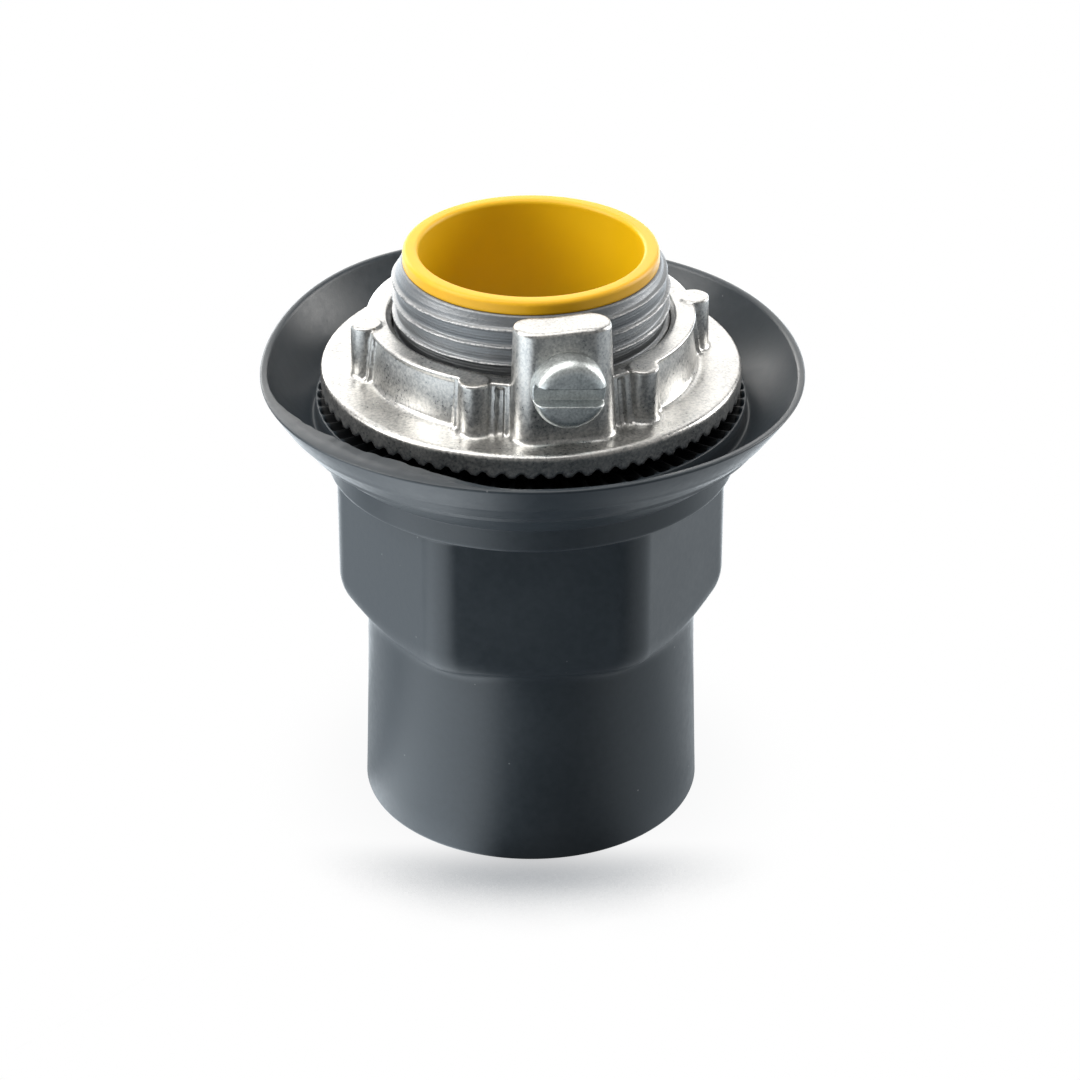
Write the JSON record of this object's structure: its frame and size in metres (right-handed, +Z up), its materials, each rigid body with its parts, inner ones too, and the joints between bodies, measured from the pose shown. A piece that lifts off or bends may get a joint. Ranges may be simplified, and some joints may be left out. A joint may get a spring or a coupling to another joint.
{
  "type": "watertight conduit hub",
  "caption": "Plastic-coated conduit hub with a hexagonal body, flared sealing skirt, serrated lock nut with ground screw, and insulated throat.",
  "frame": {"origin": "centre of the sleeve's open end, on the plane that the hub stands on", "axes": "+Z up the hub's axis, from the conduit sleeve towards the threaded neck; -Y towards the side that carries the ground terminal; +X to the right seen from that side"},
  "size_m": [0.0666, 0.0666, 0.0739],
  "materials": {
    "zinc_casting": "bare die-cast zinc, satin and finely grained",
    "pvc_coating": "dipped plastic coating, smooth with a soft sheen",
    "nitrile_seal": "matt black rubber",
    "yellow_nylon": "moulded nylon, smooth with a soft gloss",
    "nut_zinc": "bare die-cast zinc, bright and finely grained",
    "plated_steel": "zinc-plated steel, smooth satin"
  },
  "bodies": {
    "hub": {"hub_body": "zinc_casting", "pvc_jacket": "pvc_coating", "o_ring": "nitrile_seal", "throat_insulator": "yellow_nylon"},
    "lock_nut": {"lock_nut": "nut_zinc"},
    "ground_screw": {"ground_screw": "plated_steel"}
  },
  "joints": [
    {"name": "nut_turn", "type": "hinge", "parent": "hub", "child": "lock_nut", "pos_m": [0, 0, 0.0606], "axis": [0, 0, 1], "range_deg": [-244, 2443]},
    {"name": "screw_turn", "type": "hinge", "parent": "lock_nut", "child": "ground_screw", "pos_m": [0.0041, -0.02151, 0.0663], "axis": [0.1874, -0.9823, 0], "range_deg": [0, 2267]}
  ]
}
